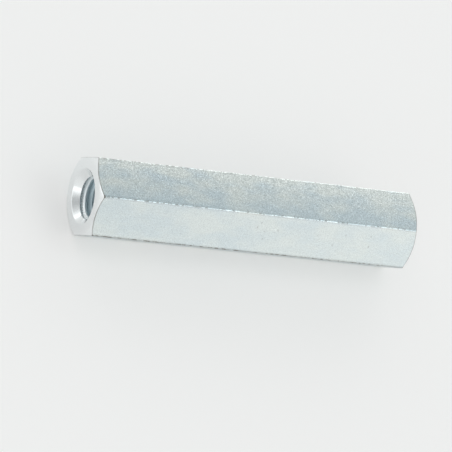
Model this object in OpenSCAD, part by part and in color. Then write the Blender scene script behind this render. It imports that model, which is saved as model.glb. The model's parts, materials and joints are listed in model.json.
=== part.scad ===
// Coupling nut: a long hexagon nut that joins two threaded rods end to end.
// The nut lies on one of its flats, with its axis along X and its centre at the origin.

/* [Hexagon bar] */
// Length of the nut from end face to end face
nut_length = 60; // [24:1:120]
// Width across two opposite flats
across_flats = 13; // [12:0.5:24]
// How far the bar's six rounded edges fall short of a sharp hexagon's corners
edge_step = 0.04; // [0.02:0.02:0.4]

/* [End chamfers] */
// Step from the flats in to the rim of the round end face
face_inset = 0.05; // [0.05:0.05:0.5]
// Slope of the chamfer, measured from the end face
chamfer_angle = 30; // [15:1:45]

/* [Threaded bore] */
// Nominal (major) diameter of the thread
thread_diameter = 8; // [5:0.5:9]
// Pitch of the thread
thread_pitch = 1.25; // [0.5:0.05:1.5]
// Step from the thread's major radius out to the countersink's mouth
mouth_step = 0.68; // [0.2:0.02:1]
// Full angle of the countersink at each end
countersink_angle = 90; // [60:1:120]

/* [Hidden] */
$fn = 96;

// Half the nut's size along its axis, out to a flat and out to an edge
half_length = nut_length / 2;
flat_distance = across_flats / 2;
sharp_radius = flat_distance / cos(30);
crown_radius = sharp_radius - edge_step;

// The end face stops short of the flats, and the chamfer runs from its rim back to the edges
face_radius = flat_distance - face_inset;
chamfer_depth = (crown_radius - face_radius) * tan(chamfer_angle);

// A 60 degree thread fills five eighths of its full triangle's height
triangle_height = thread_pitch * cos(30);
minor_radius = thread_diameter / 2 - triangle_height * 5 / 8;

// Each countersink narrows from its mouth in the end face to the thread's minor diameter
mouth_radius = thread_diameter / 2 + mouth_step;
countersink_slope = tan(countersink_angle / 2);
countersink_depth = (mouth_radius - minor_radius) / countersink_slope;

// How far each cut runs out past the face that it opens in
cut_past = 1;

// The drawn hexagon bar, sharp, with a flat at the top and one at the bottom
module hexagon_bar() {
    linear_extrude(height = nut_length, center = true)
        circle(r = sharp_radius, $fn = 6);
}

// What turning leaves room for: flat end faces, a cone behind each that meets the flats in
// curved lines, and between them a cylinder that takes the sharpness off the bar's edges
module turned_envelope() {
    rotate_extrude()
        polygon([
            [0, -half_length],
            [face_radius, -half_length],
            [crown_radius, -half_length + chamfer_depth],
            [crown_radius, half_length - chamfer_depth],
            [face_radius, half_length],
            [0, half_length]
        ]);
}

// The tapped hole, right through, with its wall at the thread's minor diameter
module tapped_hole() {
    cylinder(h = nut_length + 2 * cut_past, r = minor_radius, center = true);
}

// One countersink, which leads a rod into the thread
module countersink() {
    translate([0, 0, half_length - countersink_depth])
        cylinder(
            h = countersink_depth + cut_past,
            r1 = minor_radius,
            r2 = mouth_radius + cut_past * countersink_slope
        );
}

// The whole nut, one piece of zinc plated steel, turned from upright to lie along X
module coupling_nut() {
    color("#C3CDCC")
        rotate([0, 90, 0])
            difference() {
                intersection() {
                    rotate(30) hexagon_bar();
                    turned_envelope();
                }
                tapped_hole();
                countersink();
                mirror([0, 0, 1]) countersink();
            }
}

coupling_nut();
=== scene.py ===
"""A zinc plated coupling nut on a pale floor.

The nut is one closed surface. Its outside is a drawn hexagon bar with rounded, slightly worn
edges, turned to a chamfer at both ends, and its inside is a countersunk M8 thread cut right
through. Lengths are written in millimetres and multiplied by MM, and the nut's axis is X.
"""

import json

import bpy
import numpy as np
from mathutils import Matrix, Vector


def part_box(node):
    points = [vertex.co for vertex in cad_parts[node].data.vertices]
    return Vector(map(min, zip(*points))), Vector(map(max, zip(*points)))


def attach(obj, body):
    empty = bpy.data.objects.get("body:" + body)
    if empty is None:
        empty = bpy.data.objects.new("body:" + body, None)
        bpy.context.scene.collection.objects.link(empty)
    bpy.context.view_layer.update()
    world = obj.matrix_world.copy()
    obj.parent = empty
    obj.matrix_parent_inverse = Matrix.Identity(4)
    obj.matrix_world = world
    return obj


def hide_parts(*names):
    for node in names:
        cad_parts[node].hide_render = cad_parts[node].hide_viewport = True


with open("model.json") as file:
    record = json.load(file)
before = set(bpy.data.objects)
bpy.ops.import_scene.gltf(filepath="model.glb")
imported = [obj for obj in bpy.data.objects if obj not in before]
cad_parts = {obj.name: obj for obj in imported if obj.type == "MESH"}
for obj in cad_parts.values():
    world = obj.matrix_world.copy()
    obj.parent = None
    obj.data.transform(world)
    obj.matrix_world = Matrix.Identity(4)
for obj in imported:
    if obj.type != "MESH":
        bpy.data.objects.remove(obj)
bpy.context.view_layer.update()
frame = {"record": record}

MM = 0.001
NODE = "coupling_nut"

# ---------------------------------------------------------------- sizes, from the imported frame

low, high = (np.array(corner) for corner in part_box(NODE))
mounts = {mount["name"]: mount for mount in frame["record"]["mounts"]}
thread_dims = mounts["thread_left"]["dims"]

HALF_LENGTH = (high[0] - low[0]) / 2
FLAT_DISTANCE = (high[2] - low[2]) / 2
EDGE_DISTANCE = (high[1] - low[1]) / 2
FLOOR_Z = low[2]

# The bore: the thread's minor radius, its pitch and depth, and the 90 degree countersink
MINOR_RADIUS = thread_dims["r_mm"] * MM
PITCH = 1.25 * MM
THREAD_DEPTH = PITCH * np.sqrt(3) / 2 * 5 / 8
COUNTERSINK_DEPTH = HALF_LENGTH - thread_dims["length_mm"] * MM / 2
MOUTH_RADIUS = MINOR_RADIUS + COUNTERSINK_DEPTH

# The thread's root lies this deep under the left end face at the angle that follows
ROOT_DEPTH = 1.29 * MM
ROOT_ANGLE = np.radians(-98)

# The bar: how far each edge wears back, from the one at 0 degrees on, how softly they turn, and
# how far each flat is crowned, from the one between 0 and 60 degrees on
EDGE_WEARS = np.array([0.03, 0.09, 0.04, 0.03, 0.03, 0.03]) * MM
EDGE_SOFTNESS = 0.010 * MM
FLAT_CROWNS = np.array([0.015, 0.068, 0.015, 0.02, 0.04, 0.02]) * MM

# The turned ends: the end face's rim, the chamfer's slope, and the small rounds on each corner
FACE_RADIUS = FLAT_DISTANCE - 0.05 * MM
CHAMFER_SLOPE = np.tan(np.radians(30))
CHAMFER_ROUND = (0.25 * MM, 0.05 * MM)
RIM_ROUND = (0.03 * MM, 0.03 * MM)
MOUTH_ROUND = (0.10 * MM, 0.08 * MM)
CONE_START = 0.18 * MM

# A nick on the front flat: where it starts and ends along X, how far it lies below the upper
# edge, its half width and its depth
NICK_START = 2.05 * MM
NICK_END = 3.35 * MM
NICK_DROP = 2.73 * MM
NICK_HALF_WIDTH = 0.11 * MM
NICK_DEPTH = 0.018 * MM

# Grid: stations around one edge of the bar and across one flat, around the bore, along the bar
EDGE_STATIONS = 10
EDGE_REACH = 0.16 * MM
FLAT_STATIONS = 9
BORE_STATIONS = 96
BODY_ROWS = 150
NICK_ROWS = 30
ROUND_STEPS = 4

# One turn of the thread as (share of the pitch, share of the depth), from the middle of the
# root: a rounded root, a straight flank, a flat crest with eased corners, and a flank back
THREAD_TURN = np.array([
    [0.00, 1.000],
    [0.05, 0.995],
    [0.08, 0.940],
    [0.32, 0.175],
    [0.37, 0.055],
    [0.44, 0.006],
    [0.56, 0.006],
    [0.63, 0.055],
    [0.68, 0.175],
    [0.92, 0.940],
    [0.95, 0.995],
])


# ---------------------------------------------------------------- the nut's surface


def station_angles():
    """Angles of the outer grid's columns around X, measured from +Y towards +Z.

    Each of the six edges, at 60 k degrees, gets a close fan over EDGE_REACH on both its sides,
    and each flat gets even steps between two fans. The front flat gets more along its nick, at
    150 degrees - atan((half a flat's width - drop) / FLAT_DISTANCE).
    """
    fan = np.linspace(-EDGE_REACH, EDGE_REACH, EDGE_STATIONS + 1) / EDGE_DISTANCE
    flat = np.linspace(fan[-1], np.pi / 3 - fan[-1], FLAT_STATIONS + 1)[1:-1]
    sector = np.concatenate([fan, flat])
    sectors = sector + np.pi / 3 * np.arange(6)[:, None]
    drops = NICK_DROP + NICK_HALF_WIDTH * np.linspace(-1.25, 1.25, 11)
    nick = np.radians(150) - np.arctan(np.tan(np.pi / 6) - drops / FLAT_DISTANCE)
    return np.sort(np.append(sectors, nick))


def wander(along, seed, longest, shortest, count=24):
    """Smooth noise along a line: a sum of sines of random phase, from -1 to 1 for the most part.

    Their wavelengths are spread evenly in proportion from longest to shortest.
    """
    random = np.random.default_rng(seed)
    waves = np.geomspace(longest, shortest, count)
    phases = random.uniform(0, 2 * np.pi, count)
    total = sum(np.sin(2 * np.pi * along / w + p) for w, p in zip(waves, phases))
    return total / np.sqrt(count / 2) / 2


def edge_distance(angle):
    """Distance from the bar's nearest edge, measured on the flat."""
    past = np.abs(angle - np.round(angle / (np.pi / 3)) * np.pi / 3)
    return FLAT_DISTANCE * (np.tan(np.pi / 6) - np.tan(np.pi / 6 - past))


def bar_radius(along, angle):
    """Distance from the axis to the drawn bar's surface.

    A flat lies at d / cos(angle off its middle), where d falls off by its crown times the
    square of the share of the way out to its edge, and the nearest of the six flats counts. An
    edge lies at EDGE_DISTANCE less its wear, which wanders along the bar. Flat and edge meet
    in the lower branch of the hyperbola (flat - r) * (edge - r) = EDGE_SOFTNESS ** 2.
    """
    shape = np.broadcast(along, angle).shape
    flat = np.full(shape, np.inf)
    wear = np.zeros(shape)
    for k, crown in enumerate(FLAT_CROWNS):
        off_middle = (angle - np.pi / 3 * (k + 0.5) + np.pi) % (2 * np.pi) - np.pi
        share = np.tan(np.clip(off_middle, -1, 1)) / np.tan(np.pi / 6)
        own = (FLAT_DISTANCE - crown * share**2) / np.cos(np.clip(off_middle, -1, 1))
        flat = np.minimum(flat, own)
        off_edge = (angle - np.pi / 3 * k + np.pi) % (2 * np.pi) - np.pi
        near = np.broadcast_to(np.abs(off_edge) < np.pi / 6, shape)
        wear = np.where(near, wander(along, 40 + k, 21 * MM, 0.7 * MM), wear)
    nearest = np.round(angle / (np.pi / 3)).astype(int) % 6
    edge = EDGE_DISTANCE - EDGE_WEARS[nearest] * (1 + np.clip(wear, -1, 1)) / 2
    return (flat + edge) / 2 - np.sqrt(((flat - edge) / 2)**2 + EDGE_SOFTNESS**2)


def nick_depth(along, angle):
    """Depth of the nick in the front flat.

    Across, it is (1 - u^2)^2 of its half width, and along it is the sine of two dents, the
    first one longer, that swing a little to either side.
    """
    share = np.clip((along - NICK_START) / (NICK_END - NICK_START), 0, 1)
    off_middle = FLAT_DISTANCE * np.tan(np.radians(150) - angle)
    drop = FLAT_DISTANCE * np.tan(np.pi / 6) - off_middle
    swing = 0.2 * NICK_HALF_WIDTH * np.sin(2 * np.pi * share)
    across = np.clip((drop - NICK_DROP - swing) / NICK_HALF_WIDTH, -1, 1)
    dents = np.abs(np.sin(2 * np.pi * share**1.2))
    near = np.abs(angle - np.radians(150)) < np.pi / 6
    return np.where(near, NICK_DEPTH * (1 - across**2)**2 * dents, 0)


def eased(corners, reaches):
    """A profile with its inner corners rounded, as a list of (x, radius) columns.

    Each corner is replaced by a quadratic Bezier curve. It leaves the incoming side and joins
    the outgoing one at the corner's two reaches, or at 0.45 of a side that is shorter.
    """
    points = [corners[0]]
    for before, corner, after, reach in zip(corners, corners[1:], corners[2:], reaches):
        ends = []
        for neighbour, length in zip((before, after), reach):
            side = neighbour - corner
            whole = np.linalg.norm(side, axis=-1, keepdims=True)
            ends.append(corner + side / whole * np.minimum(length, 0.45 * whole))
        for t in np.linspace(0, 1, ROUND_STEPS + 1):
            points.append((1 - t)**2 * ends[0] + 2 * t * (1 - t) * corner + t**2 * ends[1])
    points.append(corners[-1])
    return points


def end_profile(angle, side):
    """The turned end from just inside the countersink out to the bar, for every column.

    Its corners are the countersink's mouth, the end face's rim and the chamfer's meeting with
    the bar, each at its own depth under the end face, and side is -1 for the left end.
    """
    bar = bar_radius(side * (HALF_LENGTH - 0.6 * MM), angle)
    ones = np.ones_like(angle)
    chamfer = (bar - FACE_RADIUS) * CHAMFER_SLOPE
    depths = [CONE_START * ones, 0 * ones, 0 * ones, chamfer, chamfer + 0.12 * MM]
    radii = [(MOUTH_RADIUS - CONE_START) * ones, MOUTH_RADIUS * ones, FACE_RADIUS * ones, bar, bar]
    corners = [
        np.stack([side * (HALF_LENGTH - depth), radius], axis=-1)
        for depth, radius in zip(depths, radii)
    ]
    return eased(corners, [MOUTH_ROUND, RIM_ROUND, CHAMFER_ROUND]), chamfer


def outside(angle):
    """The nut's outer skin, rows by columns: x, radius, and distance from the chamfer's corner,
    which is below 0 on the turned end.

    It runs from the left countersink over the end face and chamfer, along the bar in even
    rows with closer ones at the nick, and back over the right end into the other countersink.
    """
    left, left_chamfer = end_profile(angle, -1)
    right, right_chamfer = end_profile(angle, 1)
    right = right[::-1]
    even = np.linspace(0, 1, BODY_ROWS)
    nick = (np.linspace(NICK_START, NICK_END, NICK_ROWS) / HALF_LENGTH + 1) / 2
    share = np.union1d(even, nick)[1:-1, None]
    x = left[-1][:, 0] * (1 - share) + right[0][:, 0] * share
    body = np.stack([x, bar_radius(x, angle) - nick_depth(x, angle)], axis=-1)
    skin = np.concatenate([np.array(left), body, np.array(right)])
    x, radius = skin[..., 0], skin[..., 1]
    past = HALF_LENGTH - np.abs(x) - np.where(x < 0, left_chamfer, right_chamfer)
    corner = np.where(x < 0, left[-1][:, 1], right[0][:, 1])
    turned = (past < 0) | (radius < FACE_RADIUS)
    from_chamfer = np.where(turned, -np.hypot(past, radius - corner), past)
    return x, radius, from_chamfer


def bore_radii(x, angle):
    """Distances from the axis to the thread's wall and to the countersinks' cones.

    The thread's depth is read from THREAD_TURN at the share of a pitch by which x lies past
    the root's helix, x = start + PITCH * angle / 360 degrees, right-handed. The bore's wall is
    the farther of the two.
    """
    start = ROOT_DEPTH - HALF_LENGTH - PITCH * ROOT_ANGLE / (2 * np.pi)
    turns = (x - start) / PITCH - angle / (2 * np.pi)
    share, depth = np.append(THREAD_TURN, [[1.0, 1.0]], axis=0).T
    thread = MINOR_RADIUS + THREAD_DEPTH * np.interp(turns % 1, share, depth)
    cone = MOUTH_RADIUS - (HALF_LENGTH - np.abs(x))
    return thread, cone


def bore(angle, left, right):
    """The bore's skin as x and radius, rows by columns.

    Row i follows the thread's helix, x = start + PITCH * (turns of row i + angle / 360
    degrees), so that the thread's corners lie on rows. Rows are held between left and right,
    and a row is moved onto the line where the groove breaks out through the countersink.
    """
    start = ROOT_DEPTH - HALF_LENGTH - PITCH * ROOT_ANGLE / (2 * np.pi)
    first = int(np.floor((left - start) / PITCH)) - 1
    last = int(np.ceil((right - start) / PITCH)) + 1
    turns = (np.arange(first, last)[:, None] + THREAD_TURN[:, 0]).reshape(-1, 1)
    x = np.clip(start + PITCH * (turns + angle / (2 * np.pi)), left, right)
    thread, cone = bore_radii(x, angle)
    gap = thread - cone
    crossing = (gap[:-1] * gap[1:] < 0) & (x[1:] > x[:-1])
    step = np.where(crossing, gap[:-1] / np.where(crossing, gap[:-1] - gap[1:], 1), 0)
    meeting = x[:-1] + step * (x[1:] - x[:-1])
    near_first = crossing & (step < 0.5) & (x[:-1] > left)
    near_second = crossing & (step >= 0.5) & (x[1:] < right)
    x[:-1][near_first] = meeting[near_first]
    x[1:][near_second] = meeting[near_second]
    return x, np.maximum(*bore_radii(x, angle))


def ring_points(x, radius, angle):
    """Points at a distance along X and a radius about it, at an angle from +Y towards +Z."""
    parts = np.broadcast_arrays(x, radius * np.cos(angle), radius * np.sin(angle))
    return np.stack(parts, axis=-1)


def strip(index, next_index):
    """Two triangles for each cell between an index grid's columns and their right neighbours.

    Cells that have run together at an end lose the triangles whose corners coincide.
    """
    a, b = index[:-1], index[1:]
    c, d = next_index[1:], next_index[:-1]
    faces = np.stack([np.stack([a, b, c], -1), np.stack([a, c, d], -1)]).reshape(-1, 3)
    differ = (faces[:, 0] != faces[:, 1]) & (faces[:, 1] != faces[:, 2])
    return faces[differ & (faces[:, 0] != faces[:, 2])]


def zipped(upper, upper_angle, lower, lower_angle):
    """Triangles between two closed rings whose stations differ.

    Going round, each station makes a triangle with the station before it on its own ring and
    the last one passed on the other ring.
    """
    passed = np.searchsorted(lower_angle, upper_angle, side="right") - 1
    on_upper = np.stack([np.roll(upper, 1), lower[passed], upper], -1)
    passed = np.searchsorted(upper_angle, lower_angle, side="left") - 1
    on_lower = np.stack([upper[passed], np.roll(lower, 1), lower], -1)
    return np.concatenate([on_upper, on_lower])


def nut_mesh():
    """The whole nut as one closed mesh: points, triangles, and two distances at each point.

    The outer grid closes on itself around the axis. The bore's grid closes with a shift of
    one turn, because its rows are helices, and its ends run together into two rings that are
    zipped to the outer grid's end rows. The distances are those from the bar's nearest edge
    and from the chamfer's corner.
    """
    angle = station_angles()
    out_x, out_r, from_chamfer = outside(angle)
    from_edge = np.where(from_chamfer < 0, 5 * MM, edge_distance(angle))
    out_index = np.arange(out_x.size).reshape(out_x.shape)

    bore_angle = (np.arange(BORE_STATIONS) + 0.5) * 2 * np.pi / BORE_STATIONS
    left = CONE_START + CONE_START / 2 - HALF_LENGTH
    ring = out_x.size + np.arange(2 * BORE_STATIONS).reshape(2, -1)
    ring_x = np.array([left, -left])[:, None]
    ring_r = MOUTH_RADIUS - (HALF_LENGTH + left)
    in_x, in_r = bore(bore_angle, left, -left)
    in_index = out_x.size + ring.size + np.arange(in_x.size).reshape(in_x.shape)
    in_index = np.where(in_x <= left, ring[0], in_index)
    in_index = np.where(in_x >= -left, ring[1], in_index)
    per_turn = len(THREAD_TURN)
    shifted = np.vstack([in_index[per_turn:, :1], np.repeat(in_index[-1:, :1], per_turn, 0)])

    points = np.concatenate([
        ring_points(out_x, out_r, angle).reshape(-1, 3),
        ring_points(ring_x, ring_r, bore_angle).reshape(-1, 3),
        ring_points(in_x, in_r, bore_angle).reshape(-1, 3),
    ])
    distances = np.full((len(points), 2), 5 * MM)
    distances[:out_x.size] = np.stack([from_edge.ravel(), from_chamfer.ravel()], -1)
    faces = np.concatenate([
        strip(out_index, np.roll(out_index, -1, axis=1))[:, ::-1],
        strip(in_index, np.hstack([in_index[:, 1:], shifted])),
        zipped(out_index[0], angle, ring[0], bore_angle),
        zipped(out_index[-1], angle, ring[1], bore_angle)[:, ::-1],
    ])
    used, faces = np.unique(faces, return_inverse=True)
    return points[used], faces.reshape(-1, 3), distances[used]


def add_mesh(name, points, faces):
    """A mesh object of triangles, filled from whole arrays."""
    mesh = bpy.data.meshes.new(name)
    mesh.vertices.add(len(points))
    mesh.vertices.foreach_set("co", points.astype(np.float32).ravel())
    mesh.loops.add(faces.size)
    mesh.loops.foreach_set("vertex_index", faces.astype(np.int32).ravel())
    mesh.polygons.add(len(faces))
    mesh.polygons.foreach_set("loop_start", np.arange(0, faces.size, 3, dtype=np.int32))
    mesh.update(calc_edges=True)
    mesh.validate()
    piece = bpy.data.objects.new(name, mesh)
    bpy.context.scene.collection.objects.link(piece)
    return piece


# ---------------------------------------------------------------- shader nodes


class Term:
    """A number that a shader works out. Python's operators on it add Math nodes."""

    def __init__(self, finish, socket):
        self.finish = finish
        self.socket = socket

    def math(self, operation, first, second=0.0):
        return self.finish.node("ShaderNodeMath", {"operation": operation}, {0: first, 1: second})

    def __add__(self, other):
        return self.math("ADD", self, other)

    def __radd__(self, other):
        return self.math("ADD", other, self)

    def __sub__(self, other):
        return self.math("SUBTRACT", self, other)

    def __rsub__(self, other):
        return self.math("SUBTRACT", other, self)

    def __mul__(self, other):
        return self.math("MULTIPLY", self, other)

    def __rmul__(self, other):
        return self.math("MULTIPLY", other, self)

    def __truediv__(self, other):
        return self.math("DIVIDE", self, other)

    def __pow__(self, other):
        return self.math("POWER", self, other)

    def __abs__(self):
        return self.math("ABSOLUTE", self)


class Finish:
    """A material or world under construction."""

    def __init__(self, tree):
        self.tree = tree
        self.tree.nodes.clear()

    def node(self, kind, settings=None, inputs=None, output=0):
        """Adds a node, makes its settings, fills its sockets and gives one of its outputs."""
        node = self.tree.nodes.new(kind)
        for name, value in (settings or {}).items():
            if name == "stops":
                self.set_stops(node.color_ramp, value)
            else:
                setattr(node, name, value)
        for key, value in (inputs or {}).items():
            if isinstance(value, Term):
                self.tree.links.new(value.socket, node.inputs[key])
            else:
                node.inputs[key].default_value = value
        return Term(self, node.outputs[output]) if len(node.outputs) else node

    def set_stops(self, ramp, stops):
        """Gives a colour ramp its stops, each a place and a grey or a colour."""
        while len(ramp.elements) < len(stops):
            ramp.elements.new(1.0)
        for element, (place, colour) in zip(ramp.elements, stops):
            element.position = place
            element.color = colour if isinstance(colour, tuple) else (colour,) * 3 + (1,)

    def part(self, term, axis):
        """One coordinate of a vector."""
        return self.node("ShaderNodeSeparateXYZ", None, {0: term}, axis)

    def along(self, term, axis):
        """How far a vector reaches along an axis."""
        return self.node("ShaderNodeVectorMath", {"operation": "DOT_PRODUCT"}, {0: term, 1: axis}, 1)

    def mix(self, factor, first, second):
        """A colour between two, by a factor."""
        settings = {"data_type": "RGBA"}
        return self.node("ShaderNodeMix", settings, {0: factor, 6: first, 7: second}, 2)

    def noise(self, place, size, detail=2.0, roughness=0.5):
        """Noise from 0 to 1 whose blobs are about as large as size, in metres."""
        inputs = {"Vector": place, "Scale": 1 / size, "Detail": detail, "Roughness": roughness}
        return self.node("ShaderNodeTexNoise", None, inputs)

    def ramp(self, factor, stops):
        """A grey or colour read from a ramp."""
        return self.node("ShaderNodeValToRGB", {"stops": stops}, {0: factor})

    def bump(self, height, distance, normal=None):
        """A bump of a height from 0 to 1 times a distance, on top of another if one is given."""
        inputs = {"Height": height, "Distance": distance, "Strength": 1.0}
        if normal is not None:
            inputs["Normal"] = normal
        return self.node("ShaderNodeBump", None, inputs)

    def vector(self, operation, first, second):
        """A vector worked out from two, or from one and a number for SCALE."""
        key = 3 if operation == "SCALE" else 1
        return self.node("ShaderNodeVectorMath", {"operation": operation}, {0: first, key: second})

    def facets(self, place, size, tilt):
        """The normal of small flat crystals about as large as size, each tilted its own way."""
        inputs = {"Vector": place, "Scale": 1 / size}
        own = self.node("ShaderNodeTexVoronoi", None, inputs, 1)
        lean = self.vector("SCALE", self.vector("SUBTRACT", own, (0.5, 0.5, 0.5)), tilt * 2)
        normal = self.node("ShaderNodeNewGeometry", None, None, 1)
        return self.vector("NORMALIZE", self.vector("ADD", normal, lean), (0, 0, 0))

    def spot(self, place, centre, radius):
        """1 at a centre, falling evenly to 0 at a radius."""
        settings = {"operation": "DISTANCE"}
        distance = self.node("ShaderNodeVectorMath", settings, {0: place, 1: centre}, 1)
        settings = {"operation": "SUBTRACT", "use_clamp": True}
        return self.node("ShaderNodeMath", settings, {0: 1.0, 1: distance / radius})


def new_finish(name):
    """An empty material and the finish that fills it."""
    material = bpy.data.materials.new(name)
    material.use_nodes = True
    return material, Finish(material.node_tree)


def colour(red, green, blue):
    return (red, green, blue, 1.0)


# ---------------------------------------------------------------- materials

# The drawn flats' two tints, and what is left of their gloss where they are seen at a low angle
ZINC_BLUE = colour(0.75, 0.85, 0.885)
ZINC_GREEN = colour(0.855, 0.91, 0.88)
GRAZED_ZINC = colour(0.74, 0.75, 0.76)

# The turned ends, the soil and painted shade on them and on the edges, the thread, and the painted
# shade in its roots
ZINC_PALE = colour(0.875, 0.90, 0.905)
SOIL_AND_SHADE = colour(0.17, 0.16, 0.14)
DULL_STEEL = colour(0.80, 0.91, 0.95)
THREAD_ZINC = colour(0.90, 0.94, 0.95)
THREAD_ROOT_SHADE = colour(0.13, 0.17, 0.19)

# Specks of soil on the front flat: their places along X and below the upper edge, their radii
# and the share of soil in their middles. The first sits where the chamfer meets both flats.
SPECKS = np.array([
    [-29.35, 0.05, 0.42, 1.10],
    [-0.4, 2.6, 0.28, 0.55],
    [0.1, 1.7, 0.26, 0.55],
    [1.1, 3.3, 0.22, 0.55],
    [1.2, 4.7, 0.24, 0.55],
    [3.5, 2.8, 0.26, 0.55],
    [11.2, 3.0, 0.20, 0.55],
    [14.5, 4.5, 0.26, 0.55],
    [16.4, 2.4, 0.24, 0.55],
    [21.2, 2.1, 0.22, 0.55],
    [21.4, 4.1, 0.28, 0.55],
])

# The floor's board, and how far towards white it is lifted where the camera and the metal see it
BOARD = colour(0.715, 0.71, 0.70)
BOARD_LIFT = 0.25


def soiling_and_shading(f, place):
    """Soil and painted shade: a darker broken line at the chamfer's corner, soil in breaks along the
    edges and in specks, painted shade in patches along the two edges at mid height, and a faint
    painted shade line beside every edge.
    """
    from_edge = f.node("ShaderNodeAttribute", {"attribute_name": "from_edge"}, None, 2)
    from_chamfer = f.node("ShaderNodeAttribute", {"attribute_name": "from_chamfer"}, None, 2)
    patchy = f.ramp(f.noise(place, 1.1 * MM, 2.0), [(0.35, 0.7), (0.60, 1.0)])
    seam = f.ramp(abs(from_chamfer - 0.02 * MM) / (0.20 * MM), [(0.30, 1.0), (0.65, 0.0)])
    breaks = f.noise(place, 0.60 * MM, 2.0, 0.7) - f.part(place, 0) / (600 * MM)
    broken = f.ramp(breaks, [(0.53, 0.0), (0.59, 1.0)])
    edge = f.ramp(from_edge / (0.30 * MM), [(0.30, 1.0), (0.90, 0.0)])
    # Painted shade: the two edges at mid height darken in patches, the front one standing for the
    # shadow where it overhangs the floor
    painted_shade_mid_edges = f.ramp(abs(f.part(place, 2)) / (1.0 * MM), [(0.5, 1.0), (0.9, 0.0)])
    # Painted shade: a faint grey line on the flats, about 0.3 mm in from every edge
    painted_shade_beside_edges = f.ramp(abs(from_edge - 0.30 * MM) / (0.15 * MM), [(0.30, 1.0), (1.00, 0.0)])
    y, z = f.part(place, 1), f.part(place, 2)
    outer = f.ramp((y * y + z * z) ** 0.5 / (8 * MM), [(0.65, 0.0), (0.75, 1.0)])
    soil_and_shade = 0.68 * patchy * seam + 0.55 * edge * outer * (broken + patchy * painted_shade_mid_edges)
    soil_and_shade = soil_and_shade + 0.09 * painted_shade_beside_edges
    front = np.array([0.0, -0.5, -np.cos(np.pi / 6)])
    top = np.array([0.0, -np.tan(np.pi / 6) * FLAT_DISTANCE, FLAT_DISTANCE])
    narrowed = f.vector("MULTIPLY", place, (1.7, 1.0, 1.0))
    for along, drop, radius, share in SPECKS:
        centre = top + front * (drop * MM) + np.array([1.7 * along * MM, 0, 0])
        soil_and_shade = soil_and_shade + share * f.spot(narrowed, tuple(centre), radius * MM)
    return f.node("ShaderNodeMath", {"operation": "MINIMUM"}, {0: soil_and_shade, 1: 1.0})


def plated_flats():
    """Zinc on the drawn flats: fine sparkling crystals, and soft patches of blue and green."""
    material, f = new_finish("zinc_plate_on_flats")
    place = f.node("ShaderNodeTexCoord", None, None, 3)
    drawn = f.vector("MULTIPLY", place, (0.45, 1.0, 1.0))
    upper = f.ramp(f.part(place, 2) / FLAT_DISTANCE, [(0.93, 0.0), (0.98, 1.0)])
    towards_back = upper * f.part(place, 1) / (25 * MM)
    patches = f.ramp(f.noise(drawn, 3.2 * MM, 2.0) + towards_back, [(0.36, 0.0), (0.62, 1.0)])
    grain = f.noise(place, 0.16 * MM, 1.0, 0.5)
    depth = 0.30 + 0.42 * upper
    tint = f.mix(0.5 + (patches - 0.5) * (0.5 + 0.5 * upper), ZINC_BLUE, ZINC_GREEN)
    sparkle = f.vector("SCALE", tint, 1.0 + depth * (grain - 0.5))
    soil_and_shade = soiling_and_shading(f, place)
    shader = f.node(
        "ShaderNodeBsdfPrincipled",
        None,
        {
            "Base Color": f.mix(soil_and_shade, sparkle, SOIL_AND_SHADE),
            "Metallic": 1.0,
            "Roughness": 0.20 + 0.04 * patches + 0.3 * soil_and_shade,
            "Specular Tint": GRAZED_ZINC,
            "Normal": f.facets(place, 0.13 * MM, 0.022 + 0.036 * upper),
        },
    )
    f.node("ShaderNodeOutputMaterial", None, {"Surface": shader})
    return material


def plated_turning():
    """Zinc on the turned ends: concentric tool rings on a smoother, brighter face."""
    material, f = new_finish("zinc_plate_on_turning")
    place = f.node("ShaderNodeTexCoord", None, None, 3)
    y, z = f.part(place, 1), f.part(place, 2)
    radius = (y * y + z * z) ** 0.5
    settings = {"noise_dimensions": "1D"}
    rings = f.node("ShaderNodeTexNoise", settings, {"W": radius / (0.11 * MM), "Scale": 1.0})
    grain = f.noise(place, 0.3 * MM, 2.0)
    soil_and_shade = soiling_and_shading(f, place)
    shader = f.node(
        "ShaderNodeBsdfPrincipled",
        None,
        {
            "Base Color": f.mix(soil_and_shade, f.vector("SCALE", ZINC_PALE[:3], 0.95 + 0.1 * grain), SOIL_AND_SHADE),
            "Metallic": 1.0,
            "Roughness": 0.10 + 0.05 * grain + 0.3 * soil_and_shade,
            "Normal": f.bump(rings, 0.004 * MM, f.bump(grain, 0.003 * MM)),
        },
    )
    f.node("ShaderNodeOutputMaterial", None, {"Surface": shader})
    return material


def plated_thread():
    """Zinc in the thread, which thins to dull steel away from the two mouths, with painted shade in
    its roots.
    """
    material, f = new_finish("zinc_plate_in_thread")
    place = f.node("ShaderNodeTexCoord", None, None, 3)
    grain = f.noise(place, 0.15 * MM, 2.0)
    depth = HALF_LENGTH - abs(f.part(place, 0))
    plating = f.ramp(depth / (5 * MM), [(0.34, 1.0), (0.52, 0.0)])
    y, z = f.part(place, 1), f.part(place, 2)
    cut = ((y * y + z * z) ** 0.5 - MINOR_RADIUS) / THREAD_DEPTH
    # Painted shade: the thread darkens towards the bottom of each groove
    root = f.ramp(cut, [(0.72, 0.0), (0.92, 0.3)])
    shader = f.node(
        "ShaderNodeBsdfPrincipled",
        None,
        {
            "Base Color": f.mix(root, f.mix(plating, DULL_STEEL, THREAD_ZINC), THREAD_ROOT_SHADE),
            "Metallic": 0.75 - 0.05 * plating,
            "Roughness": 0.48 - 0.24 * plating + 0.08 * grain,
            "Normal": f.bump(grain, 0.003 * MM),
        },
    )
    f.node("ShaderNodeOutputMaterial", None, {"Surface": shader})
    return material


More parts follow.
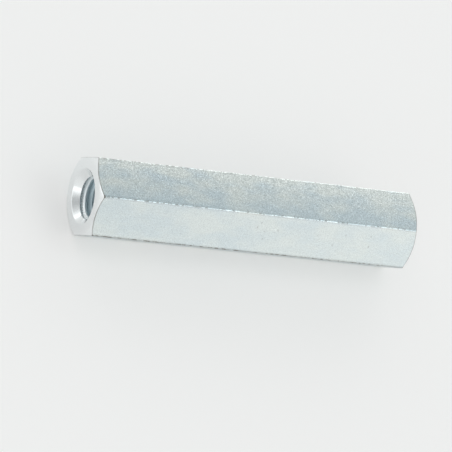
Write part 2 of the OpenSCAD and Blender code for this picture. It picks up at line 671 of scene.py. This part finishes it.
def pale_floor():
    """Matt, pale grey board that the camera and the metal both see lifted towards white."""
    material, f = new_finish("pale_board")
    board = f.node("ShaderNodeBsdfPrincipled", None, {"Base Color": BOARD, "Roughness": 0.9})
    to_camera = f.node("ShaderNodeLightPath", None, None, 0)
    to_metal = f.node("ShaderNodeLightPath", None, None, 3)
    glow = f.node("ShaderNodeEmission", None, {"Strength": BOARD_LIFT * (to_camera + to_metal)})
    shader = f.node("ShaderNodeAddShader", None, {0: board, 1: glow})
    f.node("ShaderNodeOutputMaterial", None, {"Surface": shader})
    return material


# ---------------------------------------------------------------- the nut

points, faces, distances = nut_mesh()
nut = add_mesh("nut_body", points, faces)
for name, values in zip(("from_edge", "from_chamfer"), distances.T):
    store = nut.data.attributes.new(name, "FLOAT", "POINT")
    store.data.foreach_set("value", values.astype(np.float32))
for material in (plated_flats(), plated_turning(), plated_thread()):
    nut.data.materials.append(material)

# A face belongs to the thread inside the minor corner of the countersink, to the turned ends
# where it looks along X, and to the drawn bar elsewhere
corners = points[faces]
centres = corners.mean(axis=1)
normals = np.cross(corners[:, 1] - corners[:, 0], corners[:, 2] - corners[:, 0])
normals /= np.linalg.norm(normals, axis=1, keepdims=True)
radius = np.hypot(centres[:, 1], centres[:, 2])
cone_radius = MOUTH_RADIUS - (HALF_LENGTH - np.abs(centres[:, 0]))
in_bore = radius < MOUTH_RADIUS
behind_mouth = np.abs(centres[:, 0]) < HALF_LENGTH - CONE_START
in_thread = in_bore & behind_mouth & (radius > cone_radius + 0.004 * MM)
turned = ~in_thread & (in_bore | (np.abs(normals[:, 0]) > 0.30))
kind = np.where(in_thread, 2, np.where(turned, 1, 0)).astype(np.int32)
nut.data.polygons.foreach_set("material_index", kind)
nut.data.shade_smooth()
nut.data.set_sharp_from_angle(angle=np.radians(24))
weighted = nut.modifiers.new("even_normals", "WEIGHTED_NORMAL")
weighted.keep_sharp = True
weighted.weight = 80

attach(nut, "root")
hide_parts(NODE)

# ---------------------------------------------------------------- floor, light and camera

FLOOR_HALF = 1500 * MM
floor_points = np.array([
    [-FLOOR_HALF, -FLOOR_HALF, FLOOR_Z],
    [FLOOR_HALF, -FLOOR_HALF, FLOOR_Z],
    [FLOOR_HALF, FLOOR_HALF, FLOOR_Z],
    [-FLOOR_HALF, FLOOR_HALF, FLOOR_Z],
])
floor = add_mesh("floor", floor_points, np.array([[0, 1, 2], [0, 2, 3]]))
floor.data.materials.append(pale_floor())

# The studio: an even room with a low row of windows behind the nut, a row of panels halfway up
# round it, and nine lamps. Each is a soft glow, as elevation, azimuth, strength and tint.
# A glow is strength * ((1 + cos) / 2)^GLOW_POWER, of the angle from its middle.
GLOW_POWER = 40
NEUTRAL = np.array([1.0, 1.0, 1.0])
SKYLIGHT = np.array([0.92, 1.03, 1.05])
LAMPLIGHT = np.array([1.06, 0.995, 0.97])
ROOM = 0.28 * np.array([0.96, 1.015, 1.025])
WINDOWS = [(4, azimuth, 0.9, NEUTRAL) for azimuth in range(60, 211, 30)]
PANELS = [(25, azimuth, 0.8, NEUTRAL) for azimuth in (-125, -90, 0, 45, 70)]
LAMPS = [
    (5, -65, 0.25, NEUTRAL),
    (5, -40, 1.1, LAMPLIGHT),
    (40, -60, 0.8, LAMPLIGHT),
    (50, -40, 0.9, NEUTRAL),
    (35, 110, 0.7, NEUTRAL),
    (45, 150, 0.3, NEUTRAL),
    (45, -135, 0.3, NEUTRAL),
    (65, 0, 0.9, SKYLIGHT),
    (75, 180, 0.8, NEUTRAL),
]
BACKDROP = colour(0.87, 0.88, 0.88)

world = bpy.data.worlds.new("studio")
world.use_nodes = True
bpy.context.scene.world = world
sky = Finish(world.node_tree)
towards = sky.node("ShaderNodeTexCoord", None, None, 0)
studio = tuple(ROOM)
for elevation, azimuth, strength, tint in WINDOWS + PANELS + LAMPS:
    rise, turn = np.radians(elevation), np.radians(azimuth)
    middle = (np.cos(rise) * np.cos(turn), np.cos(rise) * np.sin(turn), np.sin(rise))
    share = ((1 + sky.along(towards, middle)) / 2) ** GLOW_POWER
    glow = sky.vector("SCALE", tuple(strength * tint), share)
    studio = sky.vector("ADD", studio, glow)
seen = sky.node("ShaderNodeLightPath", None, None, 0)
shown = sky.mix(seen, studio, BACKDROP)
background = sky.node("ShaderNodeBackground", None, {"Color": shown, "Strength": 1.0})
sky.node("ShaderNodeOutputWorld", None, {"Surface": background})

# The camera looks down at the left end and the front flats
CAMERA_PLACE = Vector((-248.8695, -266.7688, 417.9239)) * MM
CAMERA_FORWARD = Vector((0.4440, 0.4785, -0.7576))
CAMERA_UP = Vector((-0.0960, 0.8660, 0.4907))
CAMERA_LENS = 261.15

back = -CAMERA_FORWARD.normalized()
right = CAMERA_UP.cross(back).normalized()
up = back.cross(right)
camera = bpy.data.cameras.new("camera")
camera.lens = CAMERA_LENS
camera.sensor_width = 36.0
camera.clip_start = 10 * MM
camera.clip_end = 10.0
stand = bpy.data.objects.new("camera", camera)
stand.matrix_world = Matrix((
    (right.x, up.x, back.x, CAMERA_PLACE.x),
    (right.y, up.y, back.y, CAMERA_PLACE.y),
    (right.z, up.z, back.z, CAMERA_PLACE.z),
    (0, 0, 0, 1),
))
bpy.context.scene.collection.objects.link(stand)
bpy.context.scene.camera = stand
bpy.context.scene.view_settings.view_transform = "Standard"
